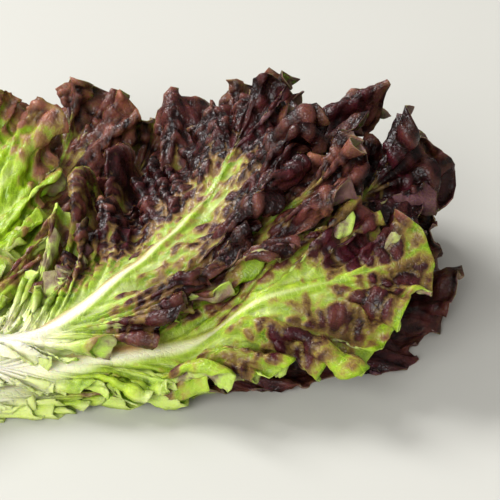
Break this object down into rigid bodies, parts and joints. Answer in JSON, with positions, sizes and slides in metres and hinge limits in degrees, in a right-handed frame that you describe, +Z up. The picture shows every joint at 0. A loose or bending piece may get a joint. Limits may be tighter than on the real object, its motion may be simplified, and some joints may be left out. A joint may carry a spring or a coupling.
{
  "type": "red leaf lettuce",
  "caption": "Head of red leaf lettuce lying opened like a fan: frilled leaves, pale green at the ribs and dark purple at the edges, on a short cut stem.",
  "frame": {"origin": "on the surface it lies on, under the middle of the head's bounding box", "axes": "+Z up from the surface; the leaves run towards +Y from the stem, whose cut face looks towards -Y; +X to the right of that"},
  "size_m": [0.3516, 0.3284, 0.1145],
  "materials": {
    "stem": "moist pale cut stem",
    "outer_leaf": "waxy leaf, green turning dark purple at its edge",
    "middle_leaf": "waxy leaf, green turning dark purple at its edge",
    "inner_leaf": "waxy leaf, mostly dark purple"
  },
  "bodies": {
    "root": {"stem": "stem", "outer_leaf_1": "outer_leaf", "outer_leaf_2": "outer_leaf", "outer_leaf_3": "outer_leaf", "outer_leaf_4": "outer_leaf", "outer_leaf_5": "outer_leaf", "middle_leaf_1": "middle_leaf", "middle_leaf_2": "middle_leaf", "middle_leaf_3": "middle_leaf", "middle_leaf_4": "middle_leaf", "middle_leaf_5": "middle_leaf", "middle_leaf_6": "middle_leaf", "middle_leaf_7": "middle_leaf", "inner_leaf_1": "inner_leaf", "inner_leaf_2": "inner_leaf", "inner_leaf_3": "inner_leaf", "inner_leaf_4": "inner_leaf", "inner_leaf_5": "inner_leaf"}
  },
  "joints": []
}
